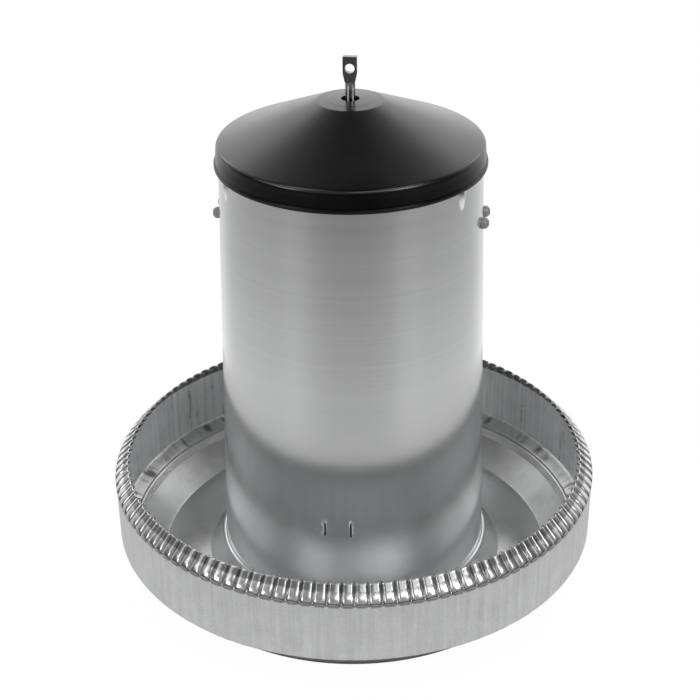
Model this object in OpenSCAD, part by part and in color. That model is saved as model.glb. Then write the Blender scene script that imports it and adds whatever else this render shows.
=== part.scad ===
// Galvanised hanging poultry feeder: a pan with a crimped lip on a central rod, a tapered sheet hopper
// that rests on a pin through the rod, and a loose plastic lid.
// Millimetres, +Z up, origin on the ground under the rod, front of the feeder towards -Y.

/* [Pan] */
// Outside diameter of the pan wall
pan_d = 420; // [410:1:430]
// Thickness of the galvanised sheet
sheet_t = 0.8; // [0.6:0.1:1]
// Height of the lip's inner edge above the ground
lip_h = 101; // [96:1:106]
// Clear diameter inside the lip
lip_clear_d = 399; // [392:1:402]
// Height where the wall turns into the lip
lip_foot_h = 84; // [80:1:86]
// Number of crimps pressed into the lip
crimps = 120; // [80:4:132]
// Outward swell of each crimp, measured from the lip's chord
crimp_swell = 3; // [2:0.1:3.5]
// Height of the wall's foot, where the inner ledge starts
ledge_h = 35.4; // [33:0.2:38]
// Width of the inner ledge
ledge_w = 12.4; // [10:0.2:14]
// Fall of the inner ledge from the wall to its inner edge
ledge_fall = 6.6; // [5:0.2:8]
// Diameter of the flat floor where the dish side starts
floor_d = 346; // [336:1:350]
// Diameter of the feed cone's foot
cone_d = 262; // [256:1:268]
// Slope of the feed cone
cone_slope = 25; // [22:1:26]

/* [Hopper] */
// Outside diameter of the tube at its top edge
tube_top_d = 211.5; // [210:0.5:211.5]
// Outside diameter of the tube at its foot
tube_foot_d = 231.6; // [228:0.2:234]
// Height of the foot bead's centre above the ground
tube_foot_h = 19.3; // [18:0.1:24]
// Height of the tube's top edge above the ground
tube_top_h = 382; // [380:1:383]
// Radius of the rolled foot bead
bead_r = 2.25; // [1.8:0.05:2.6]
// Height of the crossbar screws above the ground
screw_h = 326.8; // [322:0.2:330]
// Angle of each screw to the side of the feeder
screw_spread = 6.2; // [5.6:0.1:7]
// Height of the guide bar's slots above the ground
slot_foot_h = 84; // [82:1:90]
// Height of each slot
slot_h = 12.8; // [10:0.2:16]
// Distance between the two slots of a pair
slot_gap = 21.8; // [18:0.2:26]

/* [Lid] */
// Outside diameter of the lid's foot flange
lid_d = 219.4; // [219:0.2:222]
// Height of the lid's foot above the ground
lid_foot_h = 371.8; // [371.8:0.1:373]
// Height of the lid's shoulder above the ground
lid_shoulder_h = 389; // [388:0.5:391]
// Height of the edge of the lid's top above the ground
lid_top_h = 422.4; // [418:0.2:424]
// Rise of the lid's top from its edge to the hole
lid_crown = 1.3; // [0:0.1:2]
// Diameter of the lid's nearly flat top
lid_flat_d = 53.6; // [48:0.2:60]
// Diameter of the hole in the lid
lid_hole_d = 14.4; // [13.6:0.2:16]
// Wall thickness of the lid
lid_t = 1.8; // [1.6:0.1:1.8]

/* [Rod] */
// Diameter of the hanger rod
rod_d = 8; // [7.6:0.2:8]
// Height of the rod's top edge above the ground
rod_top_h = 457.7; // [456:0.1:462]
// Width of the flattened eye
eye_w = 11.2; // [10.6:0.2:12]
// Thickness of the flattened eye
eye_t = 4.5; // [4:0.1:5]
// Diameter of the eye's hole
eye_hole_d = 7.6; // [6.6:0.1:7.8]
// Diameter of the height pin
pin_d = 4; // [3.6:0.1:4]
// Distance between the rod's height holes
height_step = 10; // [8:0.5:10]
// Number of height holes
height_steps = 3; // [2:1:3]

/* [Hidden] */
$fn = 96;
galvanised = [0.72, 0.73, 0.74];
zinc_plate = [0.60, 0.61, 0.62];
bright_steel = [0.78, 0.79, 0.80];
black_plastic = [0.04, 0.04, 0.045];

// Running room between pieces that slide, and between pieces that only lie together
slide_gap = 0.4;
lap_gap = 0.06;

pan_r = pan_d / 2;
lip_overhang = 0.7;
lip_foot = [pan_r + lip_overhang, lip_foot_h];
lip_edge = [lip_clear_d / 2, lip_h];
crimp_groove_w = 2.8;
crimp_floor = 0.5;
crimp_start = 1;
corner_r = 2.4;
ledge_out = [pan_r - sheet_t, ledge_h];
ledge_in = ledge_out - [ledge_w, ledge_fall];
ledge_along = unit(ledge_out - ledge_in);
ledge_up = [-ledge_along.y, ledge_along.x];
flange_w = 5.5;
seam_step = [-2.7, -6];
flange_bend_r = 0.9;
step_bend_r = 2;
floor_bend_r = 2.5;
floor_out_r = floor_d / 2 - 4;
cone_r = cone_d / 2;
cone_bend_r = 3;
floor_in_r = cone_r + 4;
hub_r = 16;
hub_bend_r = 5;
hub_h = sheet_t / 2 + (cone_r - hub_r) * tan(cone_slope);

tube_slope = (tube_foot_d - tube_top_d) / 2 / (tube_top_h - tube_foot_h);
tube_tilt = atan(tube_slope);
seam_angle = 150;
seam_w = 4;
seam_foot_h = 30;
seam_top_h = 352;
slot_w = 1.6;
dimple_angles = [-60, 60, 180];
dimple_r = 8;
dimple_rise = 2.4;
dimple_len = 7;
dimple_top_h = 366.2;
screw_angles = [for (side = [-90, 90], turn = [-screw_spread, screw_spread]) side + turn];

bar_t = 2.5;
bar_w = 22;
bar_flange_h = 26;
bar_flange_angle = 23;
bar_h = screw_h - bar_flange_h / 2;
bar_gap = 0.3;

screw_d = 4.9;
screw_clear_d = 5.5;
screw_head_d = 9.4;
screw_head_h = 5.4;
screw_seat = 0.15;
screw_len = 14;
recess_w = 1.2;
recess_l = 5.4;
recess_depth = 1.6;
small_washer_t = 1;
small_washer_d = 10;
small_nut_af = 8;
small_nut_h = 4;
stack_start = sheet_t + bar_gap + bar_t + screw_seat;

guide_t = 1;
guide_recess = 0.45;

stop_washer_t = 2;
stop_washer_d = 20;
pin_h = bar_h - lap_gap - stop_washer_t - lap_gap - pin_d / 2;
pin_reach = 14;
pin_ring_r = 7;
pin_ring_wire = 3;
pin_hole_room = 0.08;

nut_af = 13;
nut_h = 6.5;
foot_washer_d = 24;
foot_washer_t = 1.6;
thread_room = 0.05;
rod_foot_h = hub_h - sheet_t / 2 - foot_washer_t - nut_h - 4;
eye_hole_h = rod_top_h - 9.4;
eye_foot_h = rod_top_h - 13.6;
eye_shoulder_h = rod_top_h - 20.8;
rod_neck_h = rod_top_h - 25.4;
eye_corner_r = 0.6;

lid_skirt_r = lid_d / 2 - 2.1;
lid_flange_h = 2.6;
lid_shoulder_r = 2.6;

// Geometry helpers
function unit(v) = v / norm(v);
function left_of(v) = [-v.y, v.x];
function backwards(list) = [for (i = [len(list) - 1:-1:0]) list[i]];

// Outside radius of the hopper tube at a height
function tube_r(h) = tube_top_d / 2 + (tube_top_h - h) * tube_slope;

// Corner of a path between a and c, rounded to radius r in a few short chords
function corner(a, b, c, r, chords = 4) =
  let (
    u = unit(a - b),
    w = unit(c - b),
    half = acos(u * w) / 2,
    centre = b + unit(u + w) * r / sin(half),
    from = b + u * r / tan(half) - centre,
    to = b + w * r / tan(half) - centre,
    start = atan2(from.y, from.x),
    turn = atan2(to.y, to.x) - start,
    sweep = turn > 180 ? turn - 360 : turn < -180 ? turn + 360 : turn
  )
  [for (k = [0:chords]) centre + r * [cos(start + sweep * k / chords), sin(start + sweep * k / chords)]];

// Path whose inner points are rounded by the radii given for them
function rounded(path, radii) = [
  for (i = [0:len(path) - 1])
    each (radii[i] == 0 ? [path[i]] : corner(path[i - 1], path[i], path[i + 1], radii[i]))
];

// One side of a sheet that follows a path, at distance d to its left
function sheet_side(path, d) = [
  for (i = [0:len(path) - 1])
    let (
      before = i > 0 ? unit(path[i] - path[i - 1]) : unit(path[1] - path[0]),
      after = i < len(path) - 1 ? unit(path[i + 1] - path[i]) : before,
      mitre = unit(left_of(before) + left_of(after))
    )
    path[i] + mitre * d / (mitre * left_of(before))
];

// Outline of a sheet of thickness t around a path
function sheet_outline(path, t) = concat(sheet_side(path, t / 2), backwards(sheet_side(path, -t / 2)));

// Arc from a to b that swells by a rise to the right of the chord
function bow(a, b, rise, chords) =
  let (
    half = norm(b - a) / 2,
    r = (half * half + rise * rise) / (2 * rise),
    out = -left_of(unit(b - a)),
    centre = (a + b) / 2 + out * (rise - r),
    start = atan2(a.y - centre.y, a.x - centre.x),
    turn = 2 * asin(half / r)
  )
  [for (k = [0:chords]) centre + r * [cos(start + turn * k / chords), sin(start + turn * k / chords)]];

// Sheet turned about the feeder's axis
module turned_sheet(path, t) {
  rotate_extrude() polygon(sheet_outline(path, t));
}

// Places its children at an angle from the front, positive towards +X, with local +X outwards
module around(angle) {
  rotate([0, 0, angle - 90]) children();
}

// Places its children on the tube's outer face, with local +X square to the sheet
module on_tube(angle, height) {
  around(angle) translate([tube_r(height), 0, height]) rotate([0, -tube_tilt, 0]) children();
}

// Solid of the tube's inside, grown outwards by a distance
module tube_core(grow) {
  room = 5;
  translate([0, 0, tube_foot_h - room])
    cylinder(
      r1 = tube_r(tube_foot_h - room) + grow,
      r2 = tube_r(tube_top_h + room) + grow,
      h = tube_top_h - tube_foot_h + 2 * room
    );
}

// Upright capsule behind the tube's face, which stands out of it by the dimple's rise
module dimple(r) {
  translate([dimple_rise - dimple_r, 0, 0]) {
    translate([0, 0, -dimple_len]) cylinder(r = r, h = dimple_len);
    translate([0, 0, -dimple_len]) sphere(r = r);
    sphere(r = r);
  }
}

// Ring along +Z
module washer(d, hole_d, t) {
  difference() {
    cylinder(d = d, h = t);
    translate([0, 0, -1]) cylinder(d = hole_d, h = t + 2);
  }
}

// Hexagon nut along +Z with chamfered corners
module nut(across_flats, hole_d, h) {
  corner_d = across_flats / cos(30);
  chamfer_h = (corner_d - across_flats) / 2 * tan(30);
  difference() {
    intersection() {
      cylinder(d = corner_d, h = h, $fn = 6);
      rotate_extrude()
        polygon([
          [0, 0],
          [across_flats / 2, 0],
          [corner_d / 2, chamfer_h],
          [corner_d / 2, h - chamfer_h],
          [across_flats / 2, h],
          [0, h]
        ]);
    }
    translate([0, 0, -1]) cylinder(d = hole_d, h = h + 2);
  }
}

// Groove between two crimps, cut straight along the lip's chord
module crimp_groove() {
  chord = lip_edge - lip_foot;
  middle = (lip_edge + lip_foot) / 2;
  depth = crimp_swell + 1;
  length = norm(chord) + 8;
  translate([middle.x, 0, middle.y])
    rotate([0, atan2(chord.x, chord.y), 0])
      translate([crimp_floor, 0, -length / 2])
        linear_extrude(length)
          polygon([[0, 0], [depth, crimp_groove_w / 2], [depth, -crimp_groove_w / 2]]);
}

// Pan
module pan_wall() {
  half_t = sheet_t / 2;
  inner = left_of(unit(lip_edge - lip_foot)) * sheet_t;
  wall_r = pan_r - half_t;
  ledge_start = ledge_in - ledge_up * half_t;
  band = [
    ledge_start,
    ledge_start + ledge_along * (wall_r - ledge_start.x) / ledge_along.x,
    [wall_r, lip_foot_h + half_t]
  ];
  color(galvanised) {
    difference() {
      union() {
        turned_sheet(rounded(band, [0, corner_r, 0]), sheet_t);
        rotate_extrude()
          polygon(concat(
            bow(lip_foot, lip_edge, crimp_swell, 4),
            [lip_edge + inner, [pan_r - sheet_t, lip_foot_h]]
          ));
      }
      for (i = [0:crimps - 1])
        around(crimp_start + i * 360 / crimps) crimp_groove();
    }
  }
}

// Sloped side of the pressed dish, from the flange under the ledge to the start of the flat floor
module pan_dish() {
  under_ledge = -ledge_up * (1.5 * sheet_t + lap_gap);
  flange_in = ledge_in - ledge_along + under_ledge;
  path = [
    flange_in + ledge_along * flange_w,
    flange_in,
    flange_in + seam_step,
    [floor_d / 2, sheet_t / 2],
    [floor_out_r, sheet_t / 2]
  ];
  color(galvanised) turned_sheet(rounded(path, [0, flange_bend_r, step_bend_r, floor_bend_r, 0]), sheet_t);
}

// Flat ring of the same pressing
module pan_floor() {
  color(galvanised) turned_sheet([[floor_out_r, sheet_t / 2], [floor_in_r, sheet_t / 2]], sheet_t);
}

// Feed cone in the middle of the same pressing, with the flat hub that the rod is clamped in
module pan_cone() {
  path = [
    [floor_in_r, sheet_t / 2],
    [cone_r, sheet_t / 2],
    [hub_r, hub_h],
    [rod_d / 2 + thread_room, hub_h]
  ];
  color(galvanised) turned_sheet(rounded(path, [0, cone_bend_r, hub_bend_r, 0]), sheet_t);
}

// Rod and what is on it
module hanger_rod() {
  half_w = eye_w / 2;
  rod_r = rod_d / 2;
  eye = [
    [-rod_r, eye_shoulder_h],
    [rod_r, eye_shoulder_h],
    [half_w, eye_foot_h],
    [half_w, rod_top_h],
    [-half_w, rod_top_h],
    [-half_w, eye_foot_h]
  ];
  neck = [
    [-rod_r, rod_neck_h],
    [rod_r, rod_neck_h],
    [eye_t / 2, eye_shoulder_h],
    [-eye_t / 2, eye_shoulder_h]
  ];
  eye_corners = rounded(concat(eye, [eye[0]]), [0, 0, 0, eye_corner_r, eye_corner_r, 0, 0]);
  color(bright_steel) {
    difference() {
      union() {
        translate([0, 0, rod_foot_h]) cylinder(d1 = rod_d - 1.6, d2 = rod_d, h = 0.8);
        translate([0, 0, rod_foot_h + 0.8]) cylinder(d = rod_d, h = rod_neck_h - rod_foot_h - 0.8);
        intersection() {
          translate([0, 0, rod_neck_h]) cylinder(d = rod_d, h = eye_shoulder_h - rod_neck_h);
          rotate([90, 0, 90]) translate([0, 0, -rod_d]) linear_extrude(2 * rod_d) polygon(neck);
        }
        rotate([90, 0, 0]) translate([0, 0, -eye_t / 2]) linear_extrude(eye_t) polygon(eye_corners);
      }
      translate([0, eye_t, eye_hole_h]) rotate([90, 0, 0]) cylinder(d = eye_hole_d, h = 2 * eye_t);
      for (i = [0:height_steps - 1])
        translate([0, rod_d, pin_h + i * height_step])
          rotate([90, 0, 0]) cylinder(d = pin_d + 2 * pin_hole_room, h = 2 * rod_d);
    }
  }
}

module foot_washers() {
  above = hub_h + sheet_t / 2 + lap_gap;
  below = hub_h - sheet_t / 2 - lap_gap - foot_washer_t;
  color(zinc_plate)
    for (h = [above, below])
      translate([0, 0, h]) washer(foot_washer_d, rod_d + 2 * thread_room, foot_washer_t);
}

module foot_nuts() {
  above = hub_h + sheet_t / 2 + 2 * lap_gap + foot_washer_t;
  below = hub_h - sheet_t / 2 - 2 * lap_gap - foot_washer_t - nut_h;
  color(zinc_plate)
    for (h = [above, below])
      translate([0, 0, h]) nut(nut_af, rod_d + 2 * thread_room, nut_h);
}

module height_pin() {
  ring_middle = -pin_reach - pin_ring_r;
  color(bright_steel) {
    translate([0, pin_reach, pin_h]) rotate([90, 0, 0]) cylinder(d = pin_d, h = 2 * pin_reach);
    translate([0, ring_middle, pin_h])
      rotate_extrude() translate([pin_ring_r, 0]) circle(d = pin_ring_wire);
  }
}

module stop_washer() {
  color(zinc_plate)
    translate([0, 0, bar_h - lap_gap - stop_washer_t])
      washer(stop_washer_d, rod_d + 2 * slide_gap, stop_washer_t);
}

// Hopper
module hopper_tube() {
  bead_middle = tube_r(tube_foot_h) - sheet_t + bead_r;
  slot_middle_y = tube_r(slot_foot_h);
  color(galvanised) {
    difference() {
      union() {
        translate([0, 0, tube_foot_h])
          cylinder(d1 = tube_foot_d, d2 = tube_top_d, h = tube_top_h - tube_foot_h);
        rotate_extrude()
          translate([bead_middle, tube_foot_h])
            difference() {
              circle(r = bead_r);
              circle(r = bead_r - sheet_t);
              translate([-2 * bead_r, 0]) square(2 * bead_r);
            }
        around(seam_angle)
          rotate([0, 0, -seam_w / 2])
            rotate_extrude(angle = seam_w)
              polygon([
                [tube_r(seam_foot_h) - sheet_t / 2, seam_foot_h],
                [tube_r(seam_foot_h) + sheet_t, seam_foot_h],
                [tube_r(seam_top_h) + sheet_t, seam_top_h],
                [tube_r(seam_top_h) - sheet_t / 2, seam_top_h]
              ]);
        for (angle = dimple_angles)
          on_tube(angle, dimple_top_h) dimple(dimple_r);
      }
      tube_core(-sheet_t);
      for (angle = dimple_angles)
        on_tube(angle, dimple_top_h) dimple(dimple_r - sheet_t);
      for (angle = screw_angles)
        on_tube(angle, screw_h) rotate([0, 90, 0]) cylinder(d = screw_clear_d, h = 10, center = true);
      for (x = [-slot_gap / 2, slot_gap / 2], y = [-slot_middle_y, slot_middle_y])
        translate([x - slot_w / 2, y - 6, slot_foot_h]) cube([slot_w, 12, slot_h]);
    }
  }
}

module crossbar() {
  top_h = bar_h + bar_flange_h;
  inset = sheet_t + bar_gap;
  color(zinc_plate) {
    difference() {
      union() {
        intersection() {
          translate([-tube_top_d / 2, -bar_w / 2, bar_h]) cube([tube_top_d, bar_w, bar_t]);
          translate([0, 0, bar_h - 1]) cylinder(r = tube_r(bar_h) - inset - bar_t / 2, h = bar_t + 2);
        }
        for (side = [-90, 90])
          around(side)
            rotate([0, 0, -bar_flange_angle / 2])
              rotate_extrude(angle = bar_flange_angle)
                polygon([
                  [tube_r(bar_h) - inset - bar_t, bar_h],
                  [tube_r(bar_h) - inset, bar_h],
                  [tube_r(top_h) - inset, top_h],
                  [tube_r(top_h) - inset - bar_t, top_h]
                ]);
      }
      translate([0, 0, bar_h - 1]) cylinder(d = rod_d + 2 * slide_gap, h = bar_t + 2);
      for (angle = screw_angles)
        on_tube(angle, screw_h) rotate([0, 90, 0]) cylinder(d = screw_clear_d, h = 12, center = true);
    }
  }
}

module crossbar_screws() {
  head = [
    [0, screw_seat],
    [screw_head_d / 2, screw_seat],
    [screw_head_d / 2, screw_seat + screw_head_h * 0.42],
    [screw_head_d * 0.46, screw_seat + screw_head_h * 0.62],
    [screw_head_d * 0.37, screw_seat + screw_head_h * 0.84],
    [screw_head_d * 0.28, screw_seat + screw_head_h * 0.97],
    [screw_head_d * 0.22, screw_seat + screw_head_h],
    [0, screw_seat + screw_head_h]
  ];
  color(zinc_plate)
    for (angle = screw_angles)
      on_tube(angle, screw_h)
        rotate([0, 90, 0])
          difference() {
            union() {
              rotate_extrude() polygon(head);
              translate([0, 0, -screw_len]) cylinder(d = screw_d, h = screw_len + screw_seat);
            }
            for (turn = [0, 90])
              rotate([0, 0, turn])
                translate([-recess_l / 2, -recess_w / 2, screw_seat + screw_head_h - recess_depth])
                  cube([recess_l, recess_w, 2 * recess_depth]);
          }
}

module crossbar_washers() {
  color(zinc_plate)
    for (angle = screw_angles)
      on_tube(angle, screw_h)
        rotate([0, -90, 0])
          translate([0, 0, stack_start])
            washer(small_washer_d, screw_d + 2 * thread_room, small_washer_t);
}

module crossbar_nuts() {
  color(zinc_plate)
    for (angle = screw_angles)
      on_tube(angle, screw_h)
        rotate([0, -90, 0])
          translate([0, 0, stack_start + small_washer_t + lap_gap])
            nut(small_nut_af, screw_d + 2 * thread_room, small_nut_h);
}

module guide_bar() {
  foot_h = slot_foot_h + slide_gap;
  leg_h = slot_h - 2 * slide_gap;
  half_span = tube_r(slot_foot_h) - sheet_t - 2;
  leg_reach = sqrt(pow(tube_r(slot_foot_h + slot_h), 2) - pow(slot_gap / 2, 2)) - guide_recess;
  color(zinc_plate) {
    difference() {
      union() {
        translate([-slot_gap / 2 - guide_t / 2, -half_span, foot_h + leg_h - guide_t])
          cube([slot_gap + guide_t, 2 * half_span, guide_t]);
        for (x = [-slot_gap / 2, slot_gap / 2])
          translate([x - guide_t / 2, -leg_reach, foot_h]) cube([guide_t, 2 * leg_reach, leg_h]);
      }
      translate([0, 0, foot_h]) cylinder(d = rod_d + 2 * slide_gap, h = slot_h + 2);
    }
  }
}

// Lid
module lid() {
  half_t = lid_t / 2;
  path = [
    [lid_skirt_r, lid_foot_h],
    [lid_skirt_r, lid_shoulder_h - half_t],
    [lid_flat_d / 2, lid_top_h - half_t],
    [lid_hole_d / 2, lid_top_h + lid_crown - half_t]
  ];
  flange = [
    [lid_skirt_r, lid_foot_h],
    [lid_d / 2 - 0.5, lid_foot_h],
    [lid_d / 2, lid_foot_h + 0.5],
    [lid_d / 2, lid_foot_h + lid_flange_h - 0.8],
    [lid_d / 2 - 0.8, lid_foot_h + lid_flange_h],
    [lid_skirt_r, lid_foot_h + lid_flange_h]
  ];
  color(black_plastic) {
    turned_sheet(rounded(path, [0, lid_shoulder_r, 3, 0]), lid_t);
    rotate_extrude() polygon(flange);
  }
}

pan_wall();
pan_dish();
pan_floor();
pan_cone();
hanger_rod();
foot_washers();
foot_nuts();
height_pin();
stop_washer();
hopper_tube();
crossbar();
crossbar_screws();
crossbar_washers();
crossbar_nuts();
guide_bar();
lid();
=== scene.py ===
import math

import bpy
import numpy as np
from mathutils import Matrix, Vector


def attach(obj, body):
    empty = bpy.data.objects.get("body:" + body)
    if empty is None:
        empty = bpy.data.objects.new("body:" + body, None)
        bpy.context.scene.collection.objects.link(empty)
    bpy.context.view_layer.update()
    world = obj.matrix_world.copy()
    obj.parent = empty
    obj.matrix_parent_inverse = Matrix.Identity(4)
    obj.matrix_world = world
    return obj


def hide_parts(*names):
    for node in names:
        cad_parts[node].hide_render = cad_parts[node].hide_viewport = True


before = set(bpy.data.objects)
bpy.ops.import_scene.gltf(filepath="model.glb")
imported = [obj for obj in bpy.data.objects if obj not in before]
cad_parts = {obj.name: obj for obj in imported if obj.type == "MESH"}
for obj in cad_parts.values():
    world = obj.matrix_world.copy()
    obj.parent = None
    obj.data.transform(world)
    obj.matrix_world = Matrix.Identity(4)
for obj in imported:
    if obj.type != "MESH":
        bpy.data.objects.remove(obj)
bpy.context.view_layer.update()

MM = 0.001
SEED = 4107
# Degrees that the camera stands to the right of the middle of the front slots
FRONT_TURN = 7.0

# Sizes in millimetres and angles in degrees from the front, as the solids have them
SHEET = 0.8
LAP_GAP = 0.06
PAN_R = 210.0
LEDGE_IN = (196.8, 28.8)
LEDGE_OUT = (209.2, 35.4)
CORNER_R = 2.4
FLANGE_W = 5.5
DISH_STEP = (-2.7, -6)
FLOOR_R = 173
CONE_R = 131
CONE_SLOPE = 25
HUB_R = 16
HUB_HOLE_R = 4.05
TUBE_TOP_R = 105.75
TUBE_FOOT_R = 115.8
TUBE_TOP_Z = 382.0
TUBE_FOOT_Z = 19.3
BEAD_R = 2.25
SLOT_X = 10.9
SLOT_W = 1.6
SLOT_Z = (84.0, 96.8)
SEAM = 150.0
SEAM_HALF = 2.0
SEAM_Z = (30, 352)
DIMPLES = (-60.0, 60.0, 180.0)

# Nodes that the dish stands for, and the radii of its bends from the flange to the hub
DISH_NODES = ["pan_dish", "pan_floor", "pan_cone"]
DISH_BENDS = [0, 0.9, 2, 1.6, 2, 5, 0]

# Middle of the lip's sheet from the wall up to its free edge, as radius and height
LIP = [
    (209.6, 85.4), (209.72, 86.6), (210.08, 88.2), (209.55, 90.3), (207.2, 93.3), (204.4, 95.9),
    (203.2, 96.9), (201.4, 98.7), (199.3, 100.7), (198.7, 101.4), (198.45, 102.1)]
LIP_MAX_R = 210.14
# Heights of the lip's bulge and of the crease along it, where its folds begin, and where they get deeper
BULGE_Z = 88.2
CREASE_Z = 96.9
FOLD_START = (86.4, 89.2)
FOLD_DEEPEN = (90, 98)
# Rise of the folds' foot at a groove
SCALLOP = 1.1
# Crimps: how many, the first one's angle, and shares of a crimp's width where columns of points stand
CRIMPS = 120
CRIMP_START = 1.0
CRIMP_COLUMNS = (0.04, 0.08, 0.125, 0.19, 0.3)
# Half widths of a groove and of its floor as shares of a crimp, its depth, and the rise between grooves
GROOVE_SHARE = 0.19
GROOVE_FLOOR = 0.02
GROOVE_DEPTH = 2.0
CROWN = 0.7
# Number of wrinkles in the ledge
WRINKLES = 118
# Crease where the rolled band's ends meet: angle, half width in degrees, depth, and heights where it begins
BAND_SEAM = -123.4
BAND_CREASE_W = 0.35
BAND_CREASE = 0.7
BAND_CREASE_Z = (58, 64)

# Waves of the sheet: heights where the wall's and the tube's begin, and the most that the tube's may rise
WALL_WAVE = (35, 47)
TUBE_WAVE = (20, 60)
TUBE_WAVE_MAX = 0.3
# Radii between which the pan's side and its floor wave, and the width of the fade at both ends
SIDE_WAVE = (174, 193, 6)
FLOOR_WAVE = (134, 170, 12)
# Depth of the faint level rings of the tube
TUBE_RINGS = 0.004
# Degrees that the middle of the front left slot bows to the side
SLOT_BOW = 0.225

# Dimples under the lid: the middle of the teardrop, its half width and half height, how far it rises,
# where the lid cuts it off, and the degrees to each side with closer columns of points
DIMPLE_Z = 368.0
DIMPLE_HALF = (4.8, 13.0)
DIMPLE_RISE = 2.1
DIMPLE_END = 371.2
DIMPLE_SPAN = 4.5

# Lid's section from the hole over the top, down the skirt and back inside, and how round each corner is
LID_PATH = [
    (7.2, 421.9), (7.2, 423.7), (17.2, 423.25), (19.0, 423.0), (26.8, 422.4), (107.4, 389.3), (108.5, 374.4),
    (109.7, 374.4), (109.7, 371.8), (106.75, 371.8), (106.7, 387.6), (26.3, 420.6), (7.2, 421.9)]
LID_RADII = [0, 0.5, 1.5, 1.5, 3, 3.4, 0.3, 0.5, 0.5, 0.4, 1.6, 3, 0]

# Heights in metres where a finish changes, from and to
LIP_START = (0.0865, 0.0885)
WALL_START = (0.036, 0.042)
EYE_START = (0.433, 0.436)
SKIRT_POLISH = (0.381, 0.389)
# Shares of bright metal inside the pan's wall and on the lip, and how rough the lip is beside the wall
INSIDE_BARE = 0.4
LIP_BARE = 0.93
LIP_ROUGH = 0.75
# Scale of the grain of the sheet and the rod
GRAIN_SCALE = 700.0
# Painted highlight stripes down the rod: how many, the first one's angle, the tint between them and on the
# eye, which is a painted shade, and the share of bright metal on the stripes
LINE_COUNT = 6
LINE_TURN = -20.0
LINE_DARK = 0.3
LINE_BARE = 0.1


def on_circle(angle, r, z):
    """Points in metres at angles in degrees from the front, positive towards +X."""
    a = np.radians(angle)
    return np.stack([r * np.sin(a), -r * np.cos(a), np.broadcast_to(z, np.shape(r * a))], axis=-1) * MM


def turn_gap(angle, middle):
    """Degrees from a middle to an angle, the short way round."""
    return (angle - middle + 180) % 360 - 180


def ease(value, start, end):
    """Share of the way from start to end, kept between 0 and 1."""
    return np.clip((value - start) / (end - start), 0, 1)


def between(value, low, high, fade):
    """1 between low and high, fading to 0 at both ends."""
    return ease(value, low, low + fade) * ease(value, high, high - fade)


def smooth(share):
    """A share that starts and ends gently."""
    return share ** 2 * (3 - 2 * share)


def smooth_path(points, steps):
    """Points along a Catmull-Rom curve, with so many steps between each two given points."""
    p = np.array(points, dtype=float)
    p = np.vstack([2 * p[0] - p[1], p, 2 * p[-1] - p[-2]])
    out = []
    for i in range(1, len(p) - 2):
        for k in range(steps):
            t = k / steps
            out.append(0.5 * (
                2 * p[i]
                + (p[i + 1] - p[i - 1]) * t
                + (2 * p[i - 1] - 5 * p[i] + 4 * p[i + 1] - p[i + 2]) * t ** 2
                + (3 * p[i] - p[i - 1] - 3 * p[i + 1] + p[i + 2]) * t ** 3
            ))
    out.append(p[-2])
    return np.array(out)


def rounded(path, radii, chords=6):
    """A path whose inner points are rounded by the radii given for them."""
    out = []
    for i, b in enumerate(path):
        b = np.array(b, dtype=float)
        if radii[i] == 0:
            out.append(b)
            continue
        u = np.array(path[i - 1]) - b
        w = np.array(path[i + 1]) - b
        u = u / np.linalg.norm(u)
        w = w / np.linalg.norm(w)
        half = math.acos(float(u @ w)) / 2
        mid = (u + w) / np.linalg.norm(u + w)
        centre = b + mid * radii[i] / math.sin(half)
        start = b + u * radii[i] / math.tan(half) - centre
        end = b + w * radii[i] / math.tan(half) - centre
        a0 = math.atan2(start[1], start[0])
        sweep = (math.atan2(end[1], end[0]) - a0 + math.pi) % (2 * math.pi) - math.pi
        for k in range(chords + 1):
            a = a0 + sweep * k / chords
            out.append(centre + radii[i] * np.array([math.cos(a), math.sin(a)]))
    return np.array(out)


def spaced(path, step):
    """A path with extra points so that no two are further apart than a step."""
    out = [path[0]]
    for a, b in zip(path[:-1], path[1:]):
        n = max(1, math.ceil(np.linalg.norm(b - a) / step))
        out.extend(a + (b - a) * (k + 1) / n for k in range(n))
    return np.array(out)


def modes(angle, rng, orders, size):
    """A smooth seeded wave around the feeder, in millimetres."""
    total = np.zeros_like(angle)
    for k in orders:
        total += size * rng.uniform(0.4, 1.0) * np.sin(np.radians(k * angle) + rng.uniform(0, 2 * np.pi))
    return total / math.sqrt(len(orders))


def ring_faces(rows, cols, skip=None):
    """Faces of a grid of points that closes around the feeder, without those to skip."""
    faces = []
    for i in range(rows - 1):
        for j in range(cols):
            if skip is not None and skip[i, j]:
                continue
            k = (j + 1) % cols
            faces.append((i * cols + j, i * cols + k, (i + 1) * cols + k, (i + 1) * cols + j))
    return faces


def grid_piece(name, points, body, material, nodes, skip=None, thickness=None, sharp=None, painted_shade=None):
    """A sheet from a grid of points that closes around the feeder, riding on a body."""
    mesh = bpy.data.meshes.new(name)
    mesh.from_pydata(points.reshape(-1, 3).tolist(), [], ring_faces(*points.shape[:2], skip))
    mesh.shade_smooth()
    if sharp:
        mesh.set_sharp_from_angle(angle=math.radians(sharp))
    mesh.materials.append(material)
    # Painted shade: a share of darkening stored on each point, which the sheet's material darkens by
    if painted_shade is not None:
        mesh.attributes.new("painted_shade", "FLOAT", "POINT").data.foreach_set("value", painted_shade.ravel())
    obj = bpy.data.objects.new(name, mesh)
    bpy.context.scene.collection.objects.link(obj)
    if thickness:
        solid = obj.modifiers.new("Sheet", "SOLIDIFY")
        solid.thickness = thickness * MM
        solid.offset = 0
        solid.use_even_offset = False
    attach(obj, body)
    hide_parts(*nodes)


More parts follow.
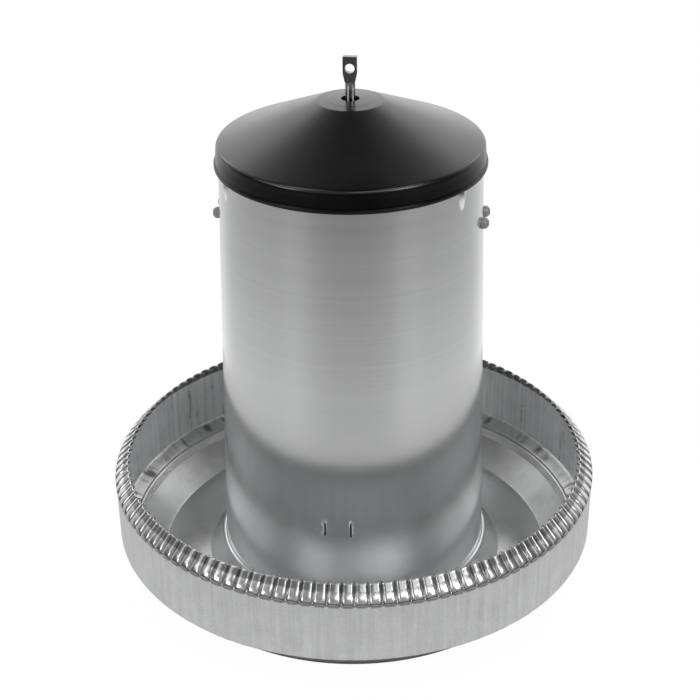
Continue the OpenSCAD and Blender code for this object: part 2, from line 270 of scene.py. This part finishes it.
# Materials
class Nodes:
    """A short way to add and link shader nodes."""

    def __init__(self, tree):
        self.tree = tree
        self.tree.nodes.clear()

    def add(self, kind, inputs=None, **settings):
        node = self.tree.nodes.new(kind)
        for key, value in settings.items():
            setattr(node, key, value)
        for key, value in (inputs or {}).items():
            if isinstance(value, bpy.types.NodeSocket):
                self.tree.links.new(value, node.inputs[key])
            else:
                node.inputs[key].default_value = value
        return node

    def math(self, operation, a, b=0.0):
        return self.add("ShaderNodeMath", {0: a, 1: b}, operation=operation).outputs[0]

    def vector(self, operation, a, b=(0, 0, 0)):
        return self.add("ShaderNodeVectorMath", {0: a, 1: b}, operation=operation).outputs

    def place(self):
        return self.add("ShaderNodeTexCoord").outputs["Object"]

    def height(self):
        return self.add("ShaderNodeSeparateXYZ", {0: self.place()}).outputs["Z"]

    def noise(self, vector, scale, detail=3.0, rough=0.5):
        inputs = {"Vector": vector, "Scale": scale, "Detail": detail, "Roughness": rough}
        return self.add("ShaderNodeTexNoise", inputs).outputs["Fac"]

    def rings(self, value, scale):
        """Noise along one value, such as a height or a radius."""
        inputs = {"W": value, "Scale": scale, "Detail": 3.0}
        return self.add("ShaderNodeTexNoise", inputs, noise_dimensions="1D").outputs["Fac"]

    def stretch(self, scale):
        return self.add("ShaderNodeMapping", {"Vector": self.place(), "Scale": scale}).outputs["Vector"]

    def span(self, value, low, high, start=0.3, end=0.7):
        """From low to high while a value goes from start to end, by default over the middle of a noise."""
        inputs = {"Value": value, "From Min": start, "From Max": end, "To Min": low, "To Max": high}
        return self.add("ShaderNodeMapRange", inputs).outputs["Result"]

    def ramp(self, value, stops):
        """A broken line through stops, for a value from -1 to 1."""
        node = self.add("ShaderNodeValToRGB", {"Fac": self.span(value, 0.0, 1.0, -1.0, 1.0)})
        parts = node.color_ramp.elements
        parts.remove(parts[1])
        for i, (place, level) in enumerate(stops):
            part = parts[0] if i == 0 else parts.new((place + 1) / 2)
            part.position = (place + 1) / 2
            part.color = (level, level, level, 1)
        return node.outputs["Color"]

    def grey(self, value):
        return self.add("ShaderNodeCombineColor", {"Red": value, "Green": value, "Blue": value}).outputs[0]


def new_material(name):
    material = bpy.data.materials.new(name)
    material.use_nodes = True
    return material, Nodes(material.node_tree)


def above_lip(n, low, high):
    """One value below the pan's lip and another on it."""
    return n.span(n.height(), low, high, *LIP_START)


def inside_wall(n, low, high):
    """One value outside the pan's wall and another inside it, above the ledge."""
    place = n.add("ShaderNodeTexCoord").outputs
    flat = n.vector("MULTIPLY", place["Object"], (1, 1, 0))[0]
    outward = n.vector("DOT_PRODUCT", flat, place["Normal"])["Value"]
    facing = n.span(outward, 1.0, 0.0, -0.1, 0.0)
    share = n.math("MULTIPLY", facing, n.span(n.height(), 0.0, 1.0, *WALL_START))
    return n.span(share, low, high, 0.0, 1.0)


def brush_and_painted_shade(n):
    """Share of the tint left: brushed inside the wall, with painted shade in creases and inside the lip."""
    wall = inside_wall(n, 0.0, 1.0)
    lip = n.math("MULTIPLY", wall, above_lip(n, 0.0, 1.0))
    inside = n.math("SUBTRACT", 1.0, n.math("MULTIPLY", lip, 0.5))
    brush = n.span(n.noise(n.stretch((260, 260, 5)), 1.0, 3.0, 0.6), -0.12, 0.12)
    inside = n.math("ADD", inside, n.math("MULTIPLY", brush, wall))
    painted_shade = n.add("ShaderNodeAttribute", attribute_name="painted_shade").outputs["Fac"]
    return n.math("MULTIPLY", inside, n.math("SUBTRACT", 1.0, painted_shade))


def painted_highlight_stripes(n):
    """1 on the painted highlight stripes down the round part of the rod, 0 between them and on the eye."""
    place = n.add("ShaderNodeSeparateXYZ", {0: n.place()}).outputs
    turn = n.math("ARCTAN2", place["X"], n.math("MULTIPLY", place["Y"], -1.0))
    turn = n.math("SUBTRACT", turn, math.radians(LINE_TURN))
    lines = n.math("COSINE", n.math("MULTIPLY", turn, LINE_COUNT))
    bright = n.span(lines, 0.0, 1.0, 0.1, 0.85)
    shank = n.span(place["Z"], 1.0, 0.0, *EYE_START)
    return n.math("MULTIPLY", bright, shank)


def metal(name, tint, rough, streaks, streak_depth, mottle, bump, bump_scale, bare=1.0, grain=0.0, brushed_and_shaded=False,
          highlight_stripes=False):
    """Sheet or plated metal: streaked tint and roughness, mottling, grain, and a fine uneven surface.

    Streaks are the scales of a stretched noise, or one number for level rings around the feeder.
    Bare is the share of bright metal, and the rest is a matte zinc bloom.
    """
    material, n = new_material(name)
    if isinstance(streaks, tuple):
        lines = n.noise(n.stretch(streaks), 1.0, 2.0, 0.6)
    else:
        lines = n.rings(n.height(), streaks)
    patches = n.noise(n.place(), mottle, 3.0, 0.55)
    mixed = n.math("ADD", n.math("MULTIPLY", lines, 0.6), n.math("MULTIPLY", patches, 0.4))
    shade = n.span(mixed, 1 - streak_depth, 1 + streak_depth)
    roughness = n.span(mixed, *rough)
    if grain:
        specks = n.noise(n.place(), GRAIN_SCALE, 3.0, 0.75)
        shade = n.math("MULTIPLY", shade, n.span(specks, 1 - grain, 1 + grain))
    # Brush streaks inside the wall, painted shade from the points and inside the lip, and the lip's own
    # roughness and bright metal
    if brushed_and_shaded:
        shade = n.math("MULTIPLY", shade, brush_and_painted_shade(n))
        roughness = n.math("MULTIPLY", roughness, above_lip(n, 1.0, LIP_ROUGH))
        bare = above_lip(n, inside_wall(n, bare, INSIDE_BARE), LIP_BARE)
    # Painted highlight stripes on the rod's round part, with a painted shade between them and on the eye
    if highlight_stripes:
        on_highlight_stripe = painted_highlight_stripes(n)
        shade = n.math("MULTIPLY", shade, n.span(on_highlight_stripe, LINE_DARK, 1.0, 0.0, 1.0))
        bare = n.span(on_highlight_stripe, 1.0, LINE_BARE, 0.0, 1.0)
    colour = n.add("ShaderNodeVectorMath", {0: tint, "Scale": shade}, operation="SCALE").outputs[0]
    relief = n.math("ADD", n.noise(n.stretch(bump_scale), 1.0, 2.0, 0.5), n.math("MULTIPLY", lines, 0.3))
    uneven = n.add("ShaderNodeBump", {"Strength": bump, "Distance": 0.0004, "Height": relief})
    shader = n.add("ShaderNodeBsdfPrincipled", {
        "Base Color": colour,
        "Metallic": bare,
        "Roughness": roughness,
        "Normal": uneven.outputs[0],
    })
    n.add("ShaderNodeOutputMaterial", {"Surface": shader.outputs[0]})
    return material


def plastic(name):
    """Satin black plastic with the faint turned rings of its mould, glossier above the skirt."""
    material, n = new_material(name)
    place = n.place()
    radius = n.vector("LENGTH", n.vector("MULTIPLY", place, (1, 1, 0))[0])["Value"]
    rings = n.rings(radius, 900.0)
    grain = n.noise(place, 900.0, 2.0)
    patches = n.noise(place, 28.0, 3.0)
    relief = n.math("ADD", rings, n.math("MULTIPLY", grain, 0.35))
    uneven = n.add("ShaderNodeBump", {"Strength": 0.16, "Distance": 0.0003, "Height": relief})
    shader = n.add("ShaderNodeBsdfPrincipled", {
        "Base Color": n.grey(n.span(patches, 0.0006, 0.0012)),
        "Roughness": n.span(patches, 0.19, 0.26),
        "Specular IOR Level": n.span(n.height(), 0.5, 1.0, *SKIRT_POLISH),
        "Normal": uneven.outputs[0],
    })
    n.add("ShaderNodeOutputMaterial", {"Surface": shader.outputs[0]})
    return material


band_metal = metal(
    "band_metal", tint=(0.84, 0.845, 0.85), rough=(0.26, 0.33), streaks=(260, 260, 14), streak_depth=0.13,
    mottle=60.0, bump=0.03, bump_scale=(420, 420, 10), bare=0.75, grain=0.09, brushed_and_shaded=True)
dish_metal = metal(
    "dish_metal", tint=(0.84, 0.845, 0.85), rough=(0.20, 0.27), streaks=(60, 60, 60), streak_depth=0.06,
    mottle=90.0, bump=0.03, bump_scale=(240, 240, 240), bare=0.8, grain=0.14)
tube_metal = metal(
    "tube_metal", tint=(0.88, 0.885, 0.89), rough=(0.215, 0.22), streaks=300.0, streak_depth=0.018,
    mottle=14.0, bump=0.002, bump_scale=(30, 30, 30))
plate_metal = metal(
    "plate_metal", tint=(0.42, 0.425, 0.43), rough=(0.30, 0.45), streaks=(300, 300, 300), streak_depth=0.12,
    mottle=150.0, bump=0.12, bump_scale=(900, 900, 900))
# Near-black tint of the guide bar is painted shade, so that its tabs look dark in the tube's slots
slot_shade_plate = metal(
    "slot_shade_plate", tint=(0.03, 0.03, 0.031), rough=(0.4, 0.55), streaks=(300, 300, 300), streak_depth=0.12,
    mottle=150.0, bump=0.12, bump_scale=(900, 900, 900))
screw_metal = metal(
    "screw_metal", tint=(0.44, 0.443, 0.446), rough=(0.5, 0.55), streaks=(120, 120, 120), streak_depth=0.02,
    mottle=60.0, bump=0.002, bump_scale=(200, 200, 200), bare=0.6)
rod_metal = metal(
    "rod_metal", tint=(0.95, 0.955, 0.96), rough=(0.09, 0.13), streaks=(500, 500, 30), streak_depth=0.06,
    mottle=200.0, bump=0.001, bump_scale=(600, 600, 60), grain=0.35, highlight_stripes=True)
lid_plastic = plastic("lid_plastic")

node_materials = {
    "hanger_rod": rod_metal,
    "height_pin": plate_metal,
    "foot_washers": plate_metal,
    "foot_nuts": plate_metal,
    "stop_washer": plate_metal,
    "crossbar": plate_metal,
    "crossbar_screws": screw_metal,
    "crossbar_washers": plate_metal,
    "crossbar_nuts": plate_metal,
    "guide_bar": slot_shade_plate,
}
for node_name, node_material in node_materials.items():
    node_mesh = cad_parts[node_name].data
    node_mesh.materials.clear()
    node_mesh.materials.append(node_material)


# Pan band: ledge, wall and crimped lip
def ledge_axes():
    """Directions outward along the ledge and up from it, as radius and height."""
    along = np.array(LEDGE_OUT) - np.array(LEDGE_IN)
    along = along / np.linalg.norm(along)
    return along, np.array([-along[1], along[0]])


def crimp_columns(rng):
    """Angles of the band's columns, and the groove, crown and tilt of the crimps at each."""
    half = np.array(CRIMP_COLUMNS)
    across = np.concatenate([[0], half, [0.5], 1 - half[::-1]])
    pitch = 360 / CRIMPS
    starts = CRIMP_START + np.arange(CRIMPS) * pitch + rng.uniform(-0.05, 0.05, CRIMPS) * pitch
    widths = np.diff(np.append(starts, starts[0] + 360))
    angle = (starts[:, None] + across * widths[:, None]).ravel()
    away = np.minimum(across, 1 - across)
    share = ease(away, GROOVE_FLOOR, GROOVE_SHARE)
    groove = (rng.uniform(0.85, 1.1, CRIMPS)[:, None] * (1 - smooth(share))).ravel()
    crown = CROWN * np.tile(1 - (1 - 2 * away) ** 2, CRIMPS)
    tilt = (rng.uniform(-0.5, 0.5, CRIMPS)[:, None] * (across - 0.5) * share).ravel()
    return angle, groove, crown, tilt


def ledge_wrinkles(rng):
    """Pressed wrinkles across the ledge, irregular in place, size and slant."""
    places = np.arange(WRINKLES) * 360 / WRINKLES + rng.uniform(-0.9, 0.9, WRINKLES)
    heights = rng.uniform(-0.8, 0.65, WRINKLES) * rng.choice([0.6, 1.0, 1.3], WRINKLES)
    widths = rng.uniform(0.45, 0.85, WRINKLES)
    slants = rng.uniform(-0.7, 0.7, WRINKLES)
    starts = rng.uniform(0.0, 0.25, WRINKLES)

    def rise(angle, share):
        total = np.zeros_like(angle)
        for place, height, width, slant, start in zip(places, heights, widths, slants, starts):
            gap = turn_gap(angle, place + slant * (share - 0.5))
            body = max(0.0, math.sin(math.pi * ease(share, start, 1)))
            total += height * body ** 0.8 * np.exp(-(gap / width) ** 2)
        return total

    return rise


def band_crease(angle, z):
    """Short crease under the lip where the rolled band's ends meet."""
    depth = BAND_CREASE * ease(z, *BAND_CREASE_Z)
    return depth * np.exp(-(turn_gap(angle, BAND_SEAM) / BAND_CREASE_W) ** 2)


def lip_painted_shade(z, groove):
    """Painted shade on the lip at a height: along its bulge and crease, above the crease, and in the grooves.
    """
    bulge = 0.72 * math.exp(-((z - BULGE_Z) / 1.5) ** 2) * (1 - 0.5 * groove)
    crease = 0.35 * math.exp(-((z - CREASE_Z) / 0.45) ** 2)
    above = 0.5 * ease(z, CREASE_Z, CREASE_Z + 0.6) * ease(z, 101.2, 100.8)
    inner = 0.5 * groove * ease(z, FOLD_START[1], 90.4)
    return 1 - (1 - inner) * (1 - bulge) * (1 - crease) * (1 - above)


def pan_band():
    """Rows of points from the ledge's inner edge to the lip's free edge, and how much painted shade darkens
    each point.
    """
    rng = np.random.RandomState(SEED)
    along, up = ledge_axes()
    wall_r = PAN_R - SHEET / 2
    ledge_start = np.array(LEDGE_IN) - up * SHEET / 2
    foot = ledge_start + along * (wall_r - ledge_start[0]) / along[0]
    ledge_len = np.linalg.norm(foot - ledge_start)
    lower = rounded([ledge_start, foot, LIP[0]], [0, CORNER_R, 0], 4)
    lower = np.vstack([spaced(lower[:-1], 3.0), spaced(lower[-2:], 16.0)[1:-1]])
    lip = smooth_path(LIP, 2)
    run = np.gradient(lip, axis=0)
    out = np.stack([run[:, 1], -run[:, 0]], axis=1) / np.linalg.norm(run, axis=1)[:, None]

    angle, groove, crown, tilt = crimp_columns(rng)
    wave = modes(angle, rng, range(3, 24), 0.10) + modes(angle, rng, range(40, 110, 3), 0.03)
    wrinkles = ledge_wrinkles(rng)
    rows = []
    painted_shade = []
    for r, z in lower:
        if z < foot[1] and r < wall_r - SHEET / 2:
            share = min(1.0, np.linalg.norm(np.array([r, z]) - ledge_start) / ledge_len)
            rise = wrinkles(angle, share)
            rows.append(on_circle(angle, r + rise * up[0], z + rise * up[1]))
            # Painted shade along the ledge's inner edge and in the wrinkles' dents
            edge = 0.6 * ease(share, 0.12, 0)
            painted_shade.append(1 - (1 - edge) * (1 - 0.65 * ease(rise, 0, -0.5)))
        else:
            crease = band_crease(angle, z)
            rows.append(on_circle(angle, r + wave * ease(z, *WALL_WAVE) - crease, z))
            # Painted shade in the crease where the band's ends meet
            painted_shade.append(0.8 * crease)
    for (r, z), (out_r, out_z) in zip(lip, out):
        start = smooth(ease(z, *FOLD_START))
        depth = GROOVE_DEPTH * (0.7 + 0.4 * ease(z, *FOLD_DEEPEN))
        move = start * (crown + tilt - depth * groove)
        scallop = SCALLOP * groove * ease(z, 85.4, 86.6) * ease(z, 91, 87)
        reach = np.minimum(r + out_r * move + wave * (1 - 0.6 * start), LIP_MAX_R)
        rows.append(on_circle(angle, reach, z + out_z * move + scallop))
        painted_shade.append(lip_painted_shade(z, groove))
    return np.array(rows), np.array(painted_shade)


band_points, band_painted_shade = pan_band()
grid_piece(
    "pan_band", band_points, "base", band_metal, ["pan_wall"], thickness=SHEET, painted_shade=band_painted_shade)


# Pan dish: flange under the ledge, stepped side, floor, cone and hub
def pan_dish():
    rng = np.random.RandomState(SEED + 1)
    along, up = ledge_axes()
    flange = np.array(LEDGE_IN) - along - up * (1.5 * SHEET + LAP_GAP)
    floor_z = SHEET / 2
    hub_z = floor_z + (CONE_R - HUB_R) * math.tan(math.radians(CONE_SLOPE))
    path = rounded([
        flange + along * FLANGE_W, flange, flange + DISH_STEP, (FLOOR_R, floor_z), (CONE_R, floor_z),
        (HUB_R, hub_z), (HUB_HOLE_R, hub_z)
    ], DISH_BENDS)
    angle = np.arange(0, 360, 1.0)
    side_wave = modes(angle, rng, range(5, 40, 2), 0.10)
    floor_wave = modes(angle, rng, range(3, 18), 0.12)
    rows = []
    for r, z in spaced(path, 3.0):
        side = between(r, *SIDE_WAVE)
        flat = between(r, *FLOOR_WAVE)
        rows.append(on_circle(angle, r + side_wave * side, z + np.maximum(0, floor_wave) * flat))
    return np.array(rows)


grid_piece("dish", pan_dish(), "base", dish_metal, DISH_NODES, thickness=SHEET)


# Hopper tube: rolled foot bead, slots, dimples and back seam
def tube_r(z):
    return TUBE_TOP_R + (TUBE_TOP_Z - z) * (TUBE_FOOT_R - TUBE_TOP_R) / (TUBE_TOP_Z - TUBE_FOOT_Z)


# The slots' angle to each side, half width and middles in degrees, by the tube's radius at their height
SLOT_TURN = math.degrees(math.asin(SLOT_X / tube_r(90)))
SLOT_HALF = math.degrees(SLOT_W / 2 / tube_r(90))
SLOT_ANGLES = [side + sign * SLOT_TURN for side in (0, 180) for sign in (-1, 1)]


def tube_columns():
    """Angles of the tube's columns, closer on the dimples, and on the edges of the slots and the seam."""
    edges = [turn_gap(slot + edge * SLOT_HALF, 0) for slot in SLOT_ANGLES for edge in (-1, 1)]
    angle = list(np.arange(-180, 180, 1.5))
    for middle in DIMPLES:
        angle += list(np.arange(middle - DIMPLE_SPAN, middle + DIMPLE_SPAN + 0.1, 0.25))
    for side in (-SEAM_HALF, SEAM_HALF):
        angle += [SEAM + side - 0.1, SEAM + side + 0.1]
    angle = [turn_gap(a, 0) for a in angle]
    angle = [a for a in angle if min(abs(turn_gap(a, e)) for e in edges) > 0.2]
    return np.array(sorted(set(np.round(angle + edges, 4))))


def tube_heights():
    """Heights of the tube's rows above the bead, closer at the dimples, and on the ends of the slots."""
    heights = list(np.arange(22, 344, 5.0)) + list(np.arange(344, 376, 1.0)) + [377, 379, 381, TUBE_TOP_Z]
    heights = [z for z in heights if min(abs(z - e) for e in SLOT_Z) > 1.0]
    return sorted(heights + list(np.linspace(*SLOT_Z, 5)))


def dimple_rise(angle, z):
    """Outward rise of the dimples' teardrops."""
    total = np.zeros_like(angle)
    if z < DIMPLE_END:
        for middle in DIMPLES:
            across = np.radians(turn_gap(angle, middle)) * tube_r(366)
            far = np.hypot(across / DIMPLE_HALF[0], (z - DIMPLE_Z) / DIMPLE_HALF[1])
            total += DIMPLE_RISE * np.maximum(0.0, 1 - far ** 2) ** 1.4
    return total


def slot_bow(angle, z):
    """Degrees that the front left slot bows to the side at a height."""
    low, high = SLOT_Z
    if not low <= z <= high:
        return 0.0
    off_middle = (2 * z - low - high) / (high - low)
    return SLOT_BOW * (1 - off_middle ** 2) * np.exp(-((angle + SLOT_TURN) / 1.2) ** 4)


def hopper_tube():
    """Rows of points from the bead's curl to the top edge, and the faces that the slots leave out."""
    rng = np.random.RandomState(SEED + 2)
    angle = tube_columns()
    heights = tube_heights()
    round_wave = modes(angle, rng, (2, 3, 4), 0.22) + modes(angle, rng, range(6, 30, 2), 0.035)
    second_wave = modes(angle, rng, (2, 3, 5), 0.18) + modes(angle, rng, range(5, 28, 2), 0.03)
    ring_phase = rng.uniform(0, 6.28, 6)
    curl_r = BEAD_R - SHEET / 2
    rows = []
    for turn in np.radians(np.arange(150, -181, -15)):
        r = TUBE_FOOT_R - SHEET + BEAD_R + curl_r * math.cos(turn)
        rows.append(on_circle(angle, r, TUBE_FOOT_Z + curl_r * math.sin(turn)))
    bead_rows = len(rows)
    for z in heights:
        share = (z - TUBE_FOOT_Z) / (TUBE_TOP_Z - TUBE_FOOT_Z)
        hold = ease(z, *TUBE_WAVE)
        wave = (round_wave * (1 - share) + second_wave * share) * hold
        rings = sum(TUBE_RINGS * math.sin(z / (2.2 + 1.4 * i) + p) for i, p in enumerate(ring_phase)) * hold
        r = tube_r(z) - SHEET / 2 + np.minimum(wave + rings, TUBE_WAVE_MAX) + dimple_rise(angle, z)
        if SEAM_Z[0] <= z <= SEAM_Z[1]:
            r = r + SHEET * ease(np.abs(turn_gap(angle, SEAM)), SEAM_HALF + 0.1, SEAM_HALF - 0.1)
        rows.append(on_circle(angle + slot_bow(angle, z), r, z))
    points = np.array(rows)

    skip = np.zeros(points.shape[:2], dtype=bool)
    for i, z in enumerate(heights):
        if SLOT_Z[0] <= z < SLOT_Z[1]:
            for slot in SLOT_ANGLES:
                skip[bead_rows + i] |= np.abs(turn_gap(angle, slot - SLOT_HALF)) < 0.01
    return points, skip


tube_points, tube_gaps = hopper_tube()
grid_piece(
    "hopper_shell", tube_points, "hopper", tube_metal, ["hopper_tube"],
    skip=tube_gaps, thickness=SHEET)


# Lid: hole, flat top, cone, rounded shoulder, skirt and foot flange
def lid_points():
    angle = np.arange(0, 360, 1.0)
    return np.array([on_circle(angle, r, z) for r, z in spaced(rounded(LID_PATH, LID_RADII, 8), 2.5)])


grid_piece("lid_shell", lid_points(), "lid", lid_plastic, ["lid"], sharp=50)


# Camera at the photograph's viewing angle: place in metres, angles in degrees
CAMERA_PLACE = (0, -1.12627, 0.81633)
CAMERA_PITCH = 28.750
CAMERA_YAW = -0.1173
CAMERA_ROLL = 0.6023
CAMERA_LENS = 77.156


def turn_z(vector, degrees):
    return Matrix.Rotation(math.radians(degrees), 3, "Z") @ vector


def add_camera():
    pitch = math.radians(CAMERA_PITCH)
    yaw = math.radians(CAMERA_YAW)
    roll = math.radians(CAMERA_ROLL)
    forward = Vector((math.sin(yaw) * math.cos(pitch), math.cos(yaw) * math.cos(pitch), -math.sin(pitch)))
    side = Vector((math.cos(yaw), -math.sin(yaw), 0))
    top = Vector((math.sin(yaw) * math.sin(pitch), math.cos(yaw) * math.sin(pitch), math.cos(pitch)))
    right = side * math.cos(roll) - top * math.sin(roll)
    over = side * math.sin(roll) + top * math.cos(roll)
    matrix = Matrix.Identity(4)
    for col, axis in enumerate((right, over, -forward)):
        turned = turn_z(axis, FRONT_TURN)
        for row in range(3):
            matrix[row][col] = turned[row]
    matrix.translation = turn_z(Vector(CAMERA_PLACE), FRONT_TURN)
    data = bpy.data.cameras.new("camera")
    data.lens = CAMERA_LENS
    data.sensor_width = 36.0
    data.clip_start = 0.01
    camera = bpy.data.objects.new("camera", data)
    camera.matrix_world = matrix
    bpy.context.scene.collection.objects.link(camera)
    bpy.context.scene.camera = camera


add_camera()


# Studio: eight softboxes, a soft surround and a pale floor
def toward(azimuth, elevation):
    """Unit direction, with azimuth 0 at the camera's side and positive to its right."""
    a = math.radians(azimuth + FRONT_TURN)
    e = math.radians(elevation)
    return Vector((math.sin(a) * math.cos(e), -math.cos(a) * math.cos(e), math.sin(e)))


def softbox(name, azimuth, elevation, distance, width, height, radiance):
    """An area lamp that faces the hopper, in degrees and metres, as bright as its radiance says."""
    aim = Vector((0, 0, 0.2))
    data = bpy.data.lights.new(name, "AREA")
    data.shape = "RECTANGLE"
    data.size = width
    data.size_y = height
    data.energy = radiance * math.pi * width * height
    lamp = bpy.data.objects.new(name, data)
    lamp.location = toward(azimuth, elevation) * distance + aim
    lamp.rotation_euler = (aim - lamp.location).to_track_quat("-Z", "Y").to_euler()
    bpy.context.scene.collection.objects.link(lamp)


softbox("softbox_left", -52, 20, 1.7, 0.45, 0.45, 4.0)
softbox("softbox_right", 46, 33, 1.7, 0.5, 0.4, 5.5)
softbox("softbox_front", 18, 45, 1.8, 0.9, 0.35, 1.7)
softbox("softbox_top_left", -64, 62, 1.6, 0.6, 0.6, 1.4)
softbox("softbox_top_right", 64, 62, 1.6, 0.6, 0.6, 1.1)
softbox("softbox_side_left", -72, 33, 1.7, 0.5, 0.6, 1.2)
softbox("softbox_back_left", -139, 31, 1.7, 0.22, 0.4, 1.8)
softbox("softbox_back_right", 137, 31, 1.7, 0.22, 0.4, 1.8)

# Brightness of the surround as lines through (place, level) points.
# Sides run from -1, behind the feeder, to 1, at the camera's side. Turns run from -1, left, to 1, right.
# Heights run from -1, straight down, to 1, straight up.
# The near ground is the sum of a level by side and one by depth, and fades into the far ground.
GROUND_BY_SIDE = [
    (-1, 0.95), (-0.9, 0.82), (-0.65, 0.52), (-0.5, 0.47), (-0.22, 0.42), (0.18, 0.4), (0.4, 0.39),
    (0.6, 0.43), (0.72, 0.4), (0.89, 0.28), (1, 0.24)]
GROUND_BY_DEPTH = [
    (-0.65, 0.6), (-0.52, 0.5), (-0.485, 0.42), (-0.46, 0.3), (-0.43, 0.16), (-0.395, 0.08), (-0.36, 0.05),
    (-0.33, 0)]
FAR_BY_SIDE = [
    (-1, 1.3), (-0.66, 1.2), (-0.375, 0.4), (-0.1, 0.1), (0.12, 0.03), (0.5, 0.0), (1, 0.0)]
FAR_BY_HEIGHT = [(-0.34, 0.0), (-0.22, 1.0)]
# The sky is the product of a level by side and one by height, with a shade low at the left
SKY_BY_SIDE = [
    (-1, 1.6), (-0.85, 1.5), (-0.67, 1.1), (-0.5, 0.95), (-0.29, 0.38), (-0.05, 0.1), (0.2, 0.13),
    (0.45, 0.35), (0.65, 0.4), (1, 0.4)]
SKY_BY_HEIGHT = [
    (0.5, 1.0), (0.58, 0.95), (0.64, 0.72), (0.70, 0.47), (0.77, 0.28), (0.82, 0.2), (0.87, 0.13),
    (0.91, 0.055), (1, 0.02)]
SHADE_BY_TURN = [(-1, 0.4), (-0.85, 0.4), (-0.7, 0.0)]
SHADE_BY_HEIGHT = [(0.35, 1.0), (0.5, 0.0)]
# A glow high up at the camera's side is added to the sky
GLOW_BY_SIDE = [(0.2, 0.0), (0.5, 0.28), (1, 0.28)]
GLOW_BY_HEIGHT = [(0.68, 0.0), (0.78, 1.0), (0.88, 1.0), (0.95, 0.0)]
HORIZON = [(-0.06, 0.0), (0.04, 1.0)]


def surround():
    world = bpy.data.worlds.new("studio")
    bpy.context.scene.world = world
    world.use_nodes = True
    n = Nodes(world.node_tree)
    direction = n.add("ShaderNodeTexCoord").outputs["Generated"]
    height = n.add("ShaderNodeSeparateXYZ", {0: direction}).outputs["Z"]
    heading = n.vector("NORMALIZE", n.vector("MULTIPLY", direction, (1, 1, 0))[0])[0]
    side = n.vector("DOT_PRODUCT", heading, toward(0, 0))["Value"]
    turn = n.vector("DOT_PRODUCT", heading, toward(90, 0))["Value"]
    near = n.math("ADD", n.ramp(side, GROUND_BY_SIDE), n.ramp(height, GROUND_BY_DEPTH))
    far = n.ramp(side, FAR_BY_SIDE)
    is_far = n.ramp(height, FAR_BY_HEIGHT)
    ground = n.add("ShaderNodeMix", {"Factor": is_far, "A": near, "B": far}).outputs["Result"]
    shade = n.math("MULTIPLY", n.ramp(turn, SHADE_BY_TURN), n.ramp(height, SHADE_BY_HEIGHT))
    sky = n.math("MULTIPLY", n.ramp(side, SKY_BY_SIDE), n.ramp(height, SKY_BY_HEIGHT))
    sky = n.math("MULTIPLY", sky, n.math("SUBTRACT", 1.0, shade))
    glow = n.math("MULTIPLY", n.ramp(side, GLOW_BY_SIDE), n.ramp(height, GLOW_BY_HEIGHT))
    sky = n.math("ADD", sky, glow)
    above = n.ramp(height, HORIZON)
    level = n.add("ShaderNodeMix", {"Factor": above, "A": ground, "B": sky}).outputs["Result"]
    seen = n.add("ShaderNodeLightPath").outputs["Is Camera Ray"]
    soft = n.add("ShaderNodeBackground", {"Strength": level})
    white = n.add("ShaderNodeBackground", {"Color": (1, 1, 1, 1), "Strength": 1.0})
    both = n.add("ShaderNodeMixShader", {0: seen, 1: soft.outputs[0], 2: white.outputs[0]})
    n.add("ShaderNodeOutputWorld", {"Surface": both.outputs[0]})


surround()


# Painted glow of the floor in reflections by distance from the rod in metres, dark as a painted shadow where
# the pan shades it
FLOOR_BY_RADIUS = [
    (0.195, 0.02), (0.206, 0.25), (0.214, 0.66), (0.25, 0.69), (0.285, 0.67), (0.34, 0.6), (0.42, 0.6)]
# Height in millimetres, just under the pan, and radii in metres of the floor's rings
FLOOR_Z = -0.3
FLOOR_RINGS = (0.001, 0.1, 0.2, 0.3, 0.42)


def floor_material():
    """White to the camera with the feeder's shadow in it, a pale painted glow in reflections with a painted
    shadow near the pan, matte to all other light.
    """
    material, n = new_material("floor_white")
    matte = n.add("ShaderNodeBsdfDiffuse", {"Color": (0.8, 0.8, 0.8, 1)})
    white = n.add("ShaderNodeEmission", {"Color": (1, 1, 1, 1), "Strength": 1.07})
    radius = n.vector("LENGTH", n.place())["Value"]
    # Painted glow of the floor in reflections, with a painted shadow near the pan
    pale = n.add("ShaderNodeEmission", {"Color": (1, 1, 1, 1), "Strength": n.ramp(radius, FLOOR_BY_RADIUS)})
    light = n.add("ShaderNodeLightPath").outputs

    def mix(share, first, second):
        return n.add("ShaderNodeMixShader", {0: share, 1: first.outputs[0], 2: second.outputs[0]})

    mirrored = mix(light["Is Glossy Ray"], matte, mix(0.7, matte, pale))
    both = mix(light["Is Camera Ray"], mirrored, mix(0.9, matte, white))
    n.add("ShaderNodeOutputMaterial", {"Surface": both.outputs[0]})
    return material


def floor():
    angle = np.arange(0, 360, 5.0)
    points = np.array([on_circle(angle, r / MM, FLOOR_Z) for r in FLOOR_RINGS])
    rows, cols = points.shape[:2]
    faces = [tuple(range(cols))] + [face[::-1] for face in ring_faces(rows, cols)]
    mesh = bpy.data.meshes.new("floor")
    mesh.from_pydata(points.reshape(-1, 3).tolist(), [], faces)
    mesh.materials.append(floor_material())
    obj = bpy.data.objects.new("floor", mesh)
    bpy.context.scene.collection.objects.link(obj)


floor()

bpy.context.scene.view_settings.view_transform = "Standard"
